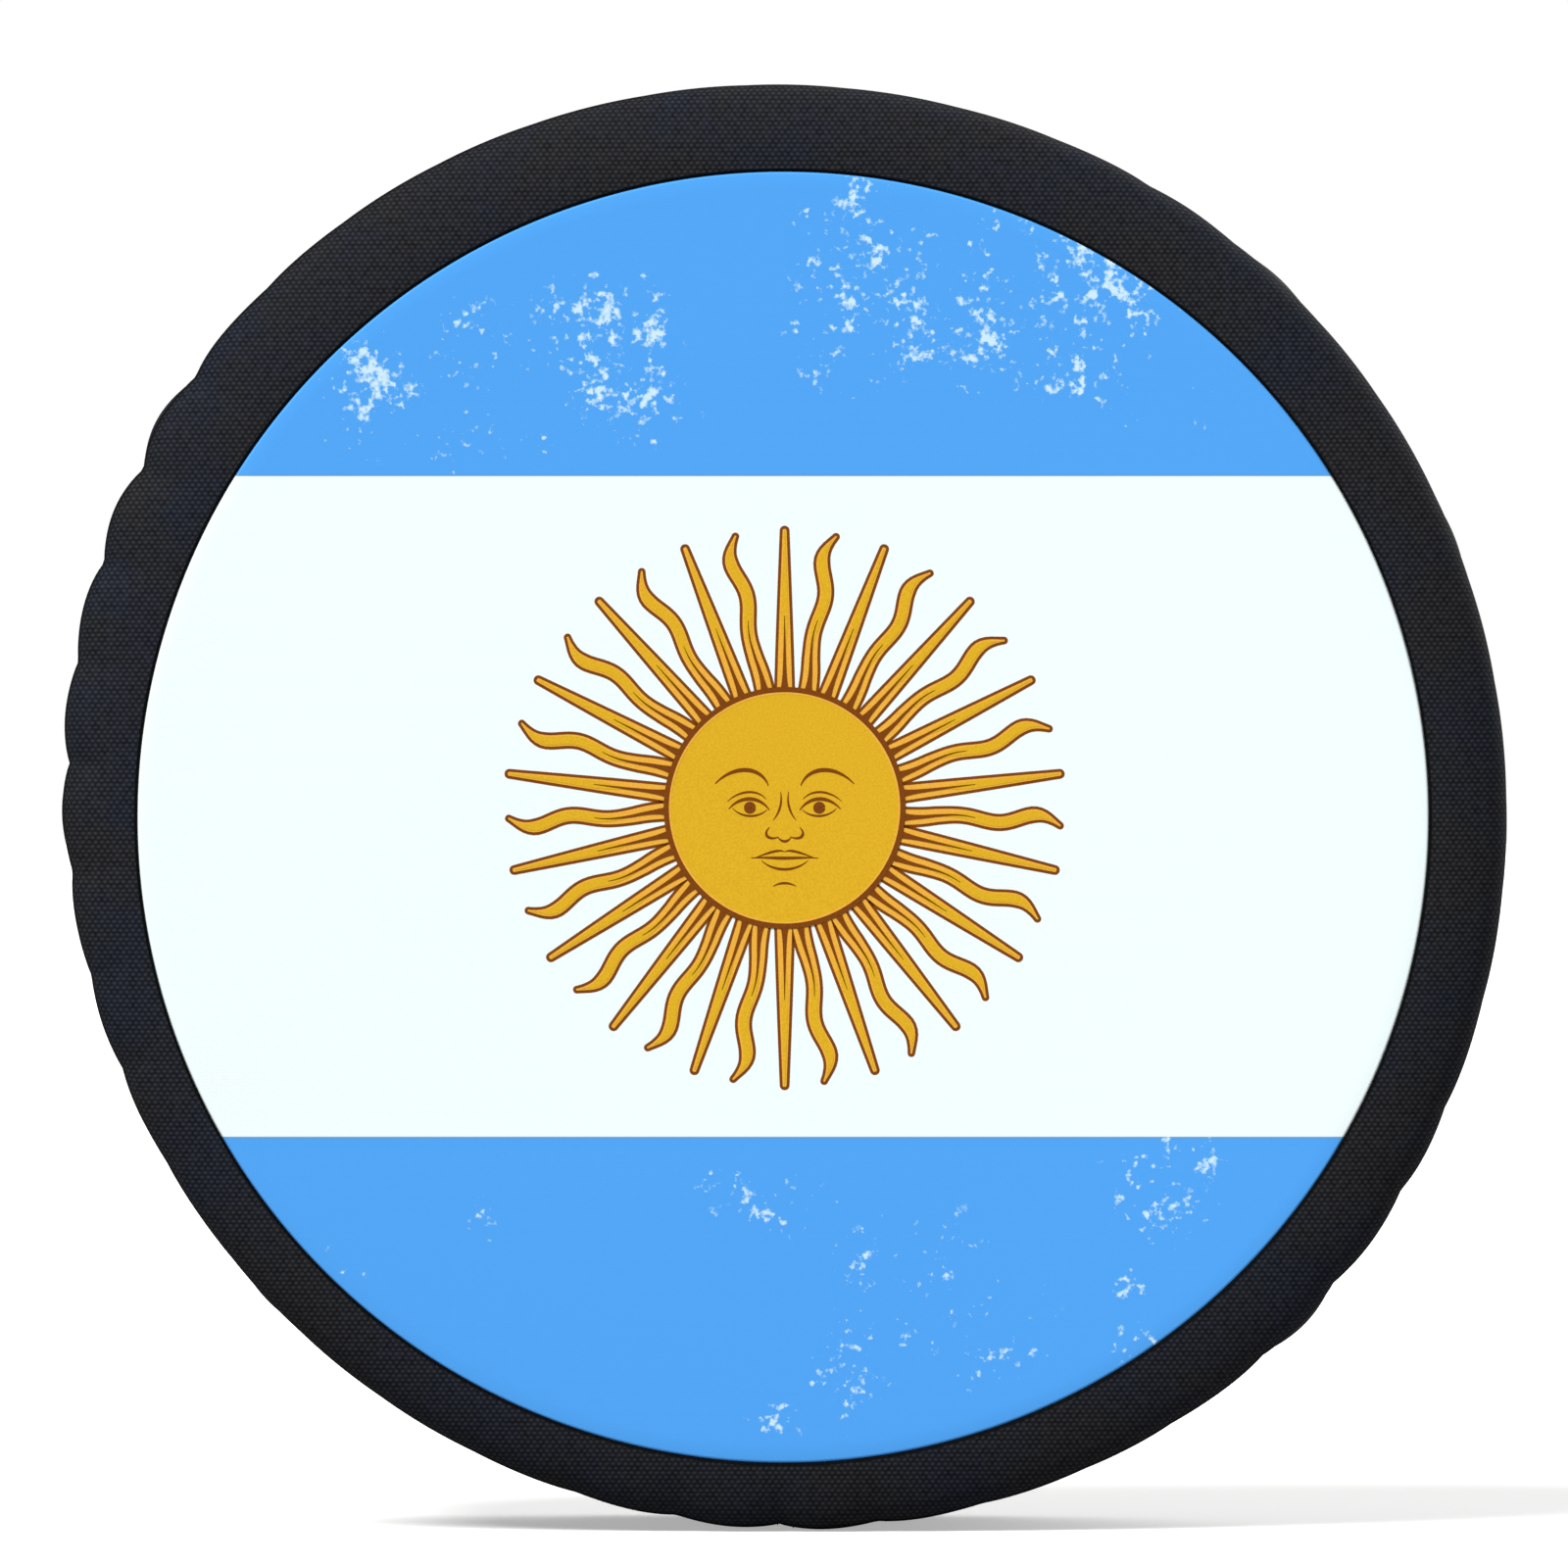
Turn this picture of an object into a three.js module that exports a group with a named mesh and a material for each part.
// Spare tyre cover: a sewn cloth cap that slips over a spare wheel and is drawn
// in behind it by a ring of elastic.
// Millimetres, +Z up. The wheel's axis is Y, the printed face looks along -Y,
// and the origin is on that axis, on the inner face that bears on the tyre.
import * as THREE from "three";

// ---- driving dimensions ----
const COVER_RADIUS = 368; // outside of the cloth over the tread
const COVER_DEPTH = 231; // outside of the front face to outside of the back
const PRINT_RADIUS = 329.5; // seam between printed disc and black ring
const PRINT_OFFSET = [-1.2, -5.2]; // printed disc's centre, off the wheel's axis in X and Z
const MOUTH_RADIUS = 240; // hole in the back, with the elastic at rest

const CLOTH = 0.8; // coated polyester cloth
const TAPE = 0.4; // seam binding
const THREAD = 0.6; // sewing thread
const GAP = 0.3; // between layers that are sewn together
const SEAM_ALLOWANCE = 11;
const TURN = 1; // bend radius of a layer where it turns into a seam
const BINDING_WIDTH = 7.5; // of each leg of the binding folded over a seam's raw edges

const CORNER_RADIUS = 10; // where the front face turns onto the tread
const EDGE_SEAM_Y = 13.4; // seam between the ring and the side band
const BARREL = 0.8; // the band's bulge at mid tread
const BACK_SHOULDER = [60, 50]; // radial and axial size of the back's rounded shoulder

const HEM_DEPTH = 24; // radial width of the folded hem
const HEM_HEIGHT = 5.2; // between the middles of its two layers
const HEM_LAP = 4.5; // part of the hem's inner layer that lies flat and is sewn
const ELASTIC = [12, 1.6]; // width and thickness
const BAR_TACK = [9, 8]; // size across X and along the radius

const CLOSING_TAPE_WIDTH = 18;
const STITCH_ROW = 4; // each row's distance from the closing seam

const SEGMENTS = 48; // facets round the wheel's axis
const SHOULDER_STEPS = 7; // and along the back's shoulder
const HALF_FACET = Math.PI / SEGMENTS;
const APOTHEM = Math.cos(HALF_FACET); // a facet's middle lies this share of the radius out

// ---- colours ----
const cloth = (color, roughness) => new THREE.MeshStandardMaterial({ color, roughness, metalness: 0 });
const PRINTED = cloth(0x53a6f6, 0.8);
const OXFORD = cloth(0x23262b, 0.85);
const BINDING = cloth(0x1b1c1f, 0.9);
const SEWING_THREAD = cloth(0x141518, 0.7);
const BRAIDED_ELASTIC = cloth(0xd8d6cf, 0.85);

// ---- levels and radii worked out from the above ----
const half = CLOTH / 2;
const layer = CLOTH + GAP; // from the middle of one layer to the middle of the next
const foldRadius = (TAPE + 2 * GAP + CLOTH) / 2; // a fold leaves room for the binding's leg
const faceY = -half; // middle of the front face's cloth
const bandRadius = COVER_RADIUS - half; // middle of the band's cloth
const backY = COVER_DEPTH - CLOTH - half;
const shoulderY = backY - BACK_SHOULDER[1];
const shoulderRadius = bandRadius - BACK_SHOULDER[0];

const point = (r, y) => new THREE.Vector2(r, y);

// Points on an ellipse round (r, y), from one angle to another in degrees.
function arc(r, y, sizeR, sizeY, from, to, steps) {
  const points = [];
  for (let i = 0; i <= steps; i++) {
    const angle = THREE.MathUtils.degToRad(from + ((to - from) * i) / steps);
    points.push(point(r + sizeR * Math.cos(angle), y + sizeY * Math.sin(angle)));
  }
  return points;
}

// The closed outline of a sheet of this thickness whose middle follows the path.
function sheetOutline(path, thickness) {
  const sides = [[], []];
  path.forEach((p, i) => {
    const before = p.clone().sub(path[Math.max(i - 1, 0)]).normalize();
    const after = path[Math.min(i + 1, path.length - 1)].clone().sub(p).normalize();
    const along = before.clone().add(after).normalize();
    const straight = i === 0 || i === path.length - 1 ? 1 : along.dot(after);
    const out = point(-along.y, along.x).multiplyScalar(thickness / 2 / straight);
    sides[0].push(p.clone().add(out));
    sides[1].unshift(p.clone().sub(out));
  });
  return [...sides[0], ...sides[1]];
}

// A closed outline turned round the wheel's axis, with a facet's middle at the bottom.
function turned(outline) {
  const facing = THREE.ShapeUtils.area(outline) > 0 ? outline : [...outline].reverse();
  const onAxis = facing.findIndex((p, i) => p.x < 1e-6 && facing.at(i - 1).x < 1e-6);
  const loop = onAxis < 0 ? [...facing, facing[0]] : [...facing.slice(onAxis), ...facing.slice(0, onAxis)];
  return new THREE.LatheGeometry(loop, SEGMENTS).rotateY(HALF_FACET);
}

const ring = (path, thickness) => turned(sheetOutline(path, thickness));

// A ring of thread whose square section is centred at (r, y).
const threadRing = (r, y) => ring([point(r - THREAD / 2, y), point(r + THREAD / 2, y)], THREAD);

// A strip that lies along a radial path at the bottom of the cover, this wide in X.
function bottomStrip(path, thickness, width, x) {
  const outline = sheetOutline(path.map((p) => point(p.x * APOTHEM, p.y)), thickness);
  const shape = new THREE.Shape(outline.map((p) => point(p.y, -p.x)));
  const strip = new THREE.ExtrudeGeometry(shape, { depth: width, bevelEnabled: false });
  return strip
    .rotateY(Math.PI / 2) // extruded along X, with the shape's x along -Z
    .rotateX(Math.PI / 2) // and now along +Y, with the shape's y along Z
    .translate(x - width / 2, 0, 0);
}

const object = new THREE.Group();

function add(name, geometry, material, x = 0, z = 0) {
  const mesh = new THREE.Mesh(geometry, material);
  mesh.name = name;
  mesh.position.set(x, 0, z);
  object.add(mesh);
}

// ---- the front face: printed disc, black ring and the seam between them ----
const discEdge = PRINT_RADIUS - GAP / 2 - half; // middle of the disc's cloth as it turns in
const ringFold = PRINT_RADIUS + GAP / 2 + half + foldRadius; // centre of the ring's fold
const allowanceEnd = PRINT_RADIUS + SEAM_ALLOWANCE + half;
const ringAllowanceY = faceY + 2 * foldRadius;
const discAllowanceY = ringAllowanceY + layer;

// The disc's edge turns in beside the ring's fold and lies behind both layers of the ring.
const discPath = [
  point(0, faceY),
  ...arc(discEdge - TURN, faceY + TURN, TURN, TURN, -90, 0, 2),
  ...arc(discEdge + TURN, discAllowanceY - TURN, TURN, TURN, 180, 90, 2),
  point(allowanceEnd, discAllowanceY),
];

// The ring folds back at the disc, runs flat, turns the corner onto the tread
// and steps in under the side band.
const ringFlatStart = PRINT_RADIUS + SEAM_ALLOWANCE + 3.5;
const ringCorner = bandRadius - CORNER_RADIUS;
const ringAllowanceRadius = bandRadius - 2 * foldRadius - layer;
const ringStepY = EDGE_SEAM_Y - GAP - half;
const edgeAllowanceEnd = EDGE_SEAM_Y + SEAM_ALLOWANCE;
const ringPath = [
  point(allowanceEnd, ringAllowanceY),
  ...arc(ringFold, faceY + foldRadius, foldRadius, foldRadius, 90, 270, 4),
  point(ringFlatStart, faceY),
  ...arc(ringCorner, faceY + CORNER_RADIUS, CORNER_RADIUS, CORNER_RADIUS, -90, 0, 4),
  ...arc(bandRadius - TURN, ringStepY - TURN, TURN, TURN, 0, 90, 2),
  ...arc(ringAllowanceRadius + TURN, ringStepY + TURN, TURN, TURN, 270, 180, 2),
  point(ringAllowanceRadius, edgeAllowanceEnd),
];

// The print sits off the wheel's axis, so the ring's inner part is moved with it.
function offsetInner(geometry) {
  const place = geometry.attributes.position;
  for (let i = 0; i < place.count; i++) {
    const radius = Math.hypot(place.getX(i), place.getZ(i));
    if (radius < ringFlatStart + 1) {
      place.setX(i, place.getX(i) + PRINT_OFFSET[0]);
      place.setZ(i, place.getZ(i) + PRINT_OFFSET[1]);
    }
  }
  return geometry;
}

// Binding tape folded over the raw edges of a seam's two allowances.
const bindingLegs = [faceY + half + GAP + TAPE / 2, discAllowanceY + half + GAP + TAPE / 2];
const bindingEnd = allowanceEnd + GAP + TAPE / 2;
const discBindingPath = [
  point(bindingEnd - BINDING_WIDTH, bindingLegs[0]),
  point(bindingEnd, bindingLegs[0]),
  point(bindingEnd, bindingLegs[1]),
  point(bindingEnd - BINDING_WIDTH, bindingLegs[1]),
];
const discThreadY = discAllowanceY + half + GAP + THREAD / 2;

add("printed_disc", ring(discPath, CLOTH), PRINTED, ...PRINT_OFFSET);
add("front_ring", offsetInner(ring(ringPath, CLOTH)), OXFORD);
add("disc_seam_binding", ring(discBindingPath, TAPE), BINDING, ...PRINT_OFFSET);
add("disc_seam_thread", threadRing(PRINT_RADIUS + 2.5, discThreadY), SEWING_THREAD, ...PRINT_OFFSET);

// ---- the side band: over the tread, round the shoulder, in to the folded hem ----
const bandFoldY = EDGE_SEAM_Y + foldRadius + half; // centre of the band's fold at the edge seam
const treadMiddleY = (bandFoldY + shoulderY) / 2;

// The band's middle from the tread to the flat of the back, moved out by an offset.
function bandRun(offset, startY) {
  const [radial, axial] = BACK_SHOULDER;
  return [
    point(bandRadius + offset, startY),
    point(bandRadius + BARREL + offset, treadMiddleY),
    ...arc(shoulderRadius, shoulderY, radial + offset, axial + offset, 0, 90, SHOULDER_STEPS),
  ];
}

const hemFoldRadius = HEM_HEIGHT / 2;
const hemFold = MOUTH_RADIUS + half + hemFoldRadius; // centre of the hem's fold
const hemEnd = MOUTH_RADIUS + HEM_DEPTH;
const hemLapStart = hemEnd - HEM_LAP;
const hemLapY = backY - layer;
const hemInnerY = backY - HEM_HEIGHT;
const bandPath = [
  point(bandRadius - 2 * foldRadius, edgeAllowanceEnd),
  ...arc(bandRadius - foldRadius, bandFoldY, foldRadius, foldRadius, 180, 360, 4),
  ...bandRun(0, bandFoldY).slice(1),
  ...arc(hemFold, backY - hemFoldRadius, hemFoldRadius, hemFoldRadius, 90, 270, 4),
  point(hemLapStart - (hemLapY - hemInnerY), hemInnerY),
  point(hemLapStart, hemLapY),
  point(hemEnd, hemLapY),
];

const edgeLegs = [bandRadius - half - GAP - TAPE / 2, ringAllowanceRadius - half - GAP - TAPE / 2];
const edgeBindingEnd = edgeAllowanceEnd + GAP + TAPE / 2;
const edgeBindingPath = [
  point(edgeLegs[0], edgeBindingEnd - BINDING_WIDTH),
  point(edgeLegs[0], edgeBindingEnd),
  point(edgeLegs[1], edgeBindingEnd),
  point(edgeLegs[1], edgeBindingEnd - BINDING_WIDTH),
];
const edgeThreadRadius = ringAllowanceRadius - half - GAP - THREAD / 2;
const stitchOffset = half + GAP + THREAD / 2; // a thread's middle outside the middle of the cloth

add("side_band", ring(bandPath, CLOTH), OXFORD);
add("edge_seam_binding", ring(edgeBindingPath, TAPE), BINDING);
add("edge_seam_thread", threadRing(edgeThreadRadius, EDGE_SEAM_Y + 2.5), SEWING_THREAD);
add("hem_thread", threadRing(hemEnd - HEM_LAP / 2, backY + stitchOffset), SEWING_THREAD);

// ---- the elastic that draws the mouth in, and the tack that joins its ends ----
const elasticRadius = hemFold + 1 + ELASTIC[0] / 2;
const elasticY = backY - hemFoldRadius;
const tackY = elasticY + ELASTIC[1] / 2 + GAP + THREAD / 2;

// A straight radial path of this length, centred on the elastic.
const across = (length, y) => [-1, 1].map((side) => point(elasticRadius + (side * length) / 2, y));

add("hem_elastic", ring(across(ELASTIC[0], elasticY), ELASTIC[1]), BRAIDED_ELASTIC);
add("elastic_bar_tack", bottomStrip(across(BAR_TACK[1], tackY), THREAD, BAR_TACK[0], 0), SEWING_THREAD);

// ---- the seam that closes the band into a loop, at the bottom ----
const tapeOffset = -(half + GAP + 0.2 + TAPE / 2);
const tapePath = [
  ...bandRun(tapeOffset, edgeAllowanceEnd + 4),
  point(hemEnd + 6, backY + tapeOffset),
];
const stitchPath = [
  ...bandRun(stitchOffset, bandFoldY + 2),
  point(hemEnd, backY + stitchOffset),
];

add("closing_seam_tape", bottomStrip(tapePath, TAPE, CLOSING_TAPE_WIDTH, 0), BINDING);
for (const [side, x] of [["left", -STITCH_ROW], ["right", STITCH_ROW]]) {
  add(`closing_seam_thread_${side}`, bottomStrip(stitchPath, THREAD, THREAD, x), SEWING_THREAD);
}

export default object;
